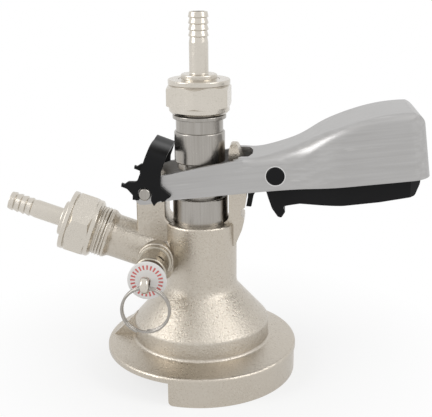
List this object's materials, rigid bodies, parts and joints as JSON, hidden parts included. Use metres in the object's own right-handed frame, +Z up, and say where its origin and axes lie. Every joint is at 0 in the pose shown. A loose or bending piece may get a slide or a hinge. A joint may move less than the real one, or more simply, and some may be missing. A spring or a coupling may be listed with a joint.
{
  "type": "keg coupler",
  "caption": "Slide-on keg coupler: cast bell body, lever that drives the probe, squeeze trigger, relief valve with pull ring, barbed beer and gas tails.",
  "frame": {"origin": "on the probe's axis, level with the underside of the skirt that grips the keg's flange", "axes": "+Z up along the probe; +X towards the lever's grip; the keg's neck enters from -X; the relief valve points at -Y"},
  "size_m": [0.19, 0.091, 0.1665],
  "materials": {
    "cast_nickel": "brass casting, nickel plated, fine sand-cast grain, warm grey",
    "smooth_nickel": "turned brass, nickel plated, satin",
    "polished_steel": "turned and polished stainless steel",
    "lever_steel": "pressed stainless sheet, brushed along its length",
    "black_plastic": "moulded black plastic, satin",
    "white_disc": "white disc with a ring of plain red dashes",
    "white_washer": "moulded washer",
    "seal_rubber": "black seal rubber"
  },
  "bodies": {
    "body": {"body_casting": "cast_nickel", "keg_gasket": "seal_rubber", "hinge_pin": "polished_steel", "relief_body": "smooth_nickel", "relief_spring": "polished_steel", "gas_check_valve": "seal_rubber", "gas_union_nut": "smooth_nickel", "gas_hose_tail": "smooth_nickel", "gas_tail_washer": "white_washer"},
    "probe": {"probe_body": "polished_steel", "piston_o_rings": "seal_rubber", "probe_tip_seal": "seal_rubber", "probe_sleeve": "polished_steel", "probe_head": "polished_steel", "beer_union_nut": "smooth_nickel", "beer_tail_washer": "white_washer", "beer_hose_tail": "smooth_nickel"},
    "lever": {"lever": "lever_steel", "lever_drive_discs": "polished_steel", "hinge_clip": "black_plastic", "trigger_pin": "black_plastic"},
    "trigger": {"trigger": "black_plastic"},
    "relief_plunger": {"relief_stem": "smooth_nickel", "relief_disc": "white_disc", "relief_seal": "seal_rubber"},
    "pull_ring": {"pull_ring": "polished_steel"}
  },
  "joints": [
    {"name": "lever_lift", "type": "hinge", "parent": "body", "child": "lever", "pos_m": [-0.023, 0, 0.0888], "axis": [0, -1, 0], "range_deg": [0, 26]},
    {"name": "probe_travel", "type": "slide", "parent": "body", "child": "probe", "axis": [0, 0, 1], "range_m": [0, 0.00985]},
    {"name": "trigger_squeeze", "type": "hinge", "parent": "lever", "child": "trigger", "pos_m": [0.0343, 0, 0.0976], "axis": [0, -1, 0], "range_deg": [0, 6], "stiffness_Nm_per_rad": 1.2, "springref_deg": -14.32},
    {"name": "relief_pull", "type": "slide", "parent": "body", "child": "relief_plunger", "axis": [0, -1, 0], "range_m": [0, 0.003], "stiffness_N_per_m": 1500, "springref_m": -0.003, "deforming": ["relief_spring"]},
    {"name": "ring_swing", "type": "hinge", "parent": "relief_plunger", "child": "pull_ring", "pos_m": [-0.0196, -0.0426, 0.0565], "axis": [1, 0, 0], "range_deg": [-80, 5]}
  ],
  "couplings": [
    {"joint": "probe_travel", "follows": "lever_lift", "m_per_rad": 0.0217}
  ]
}
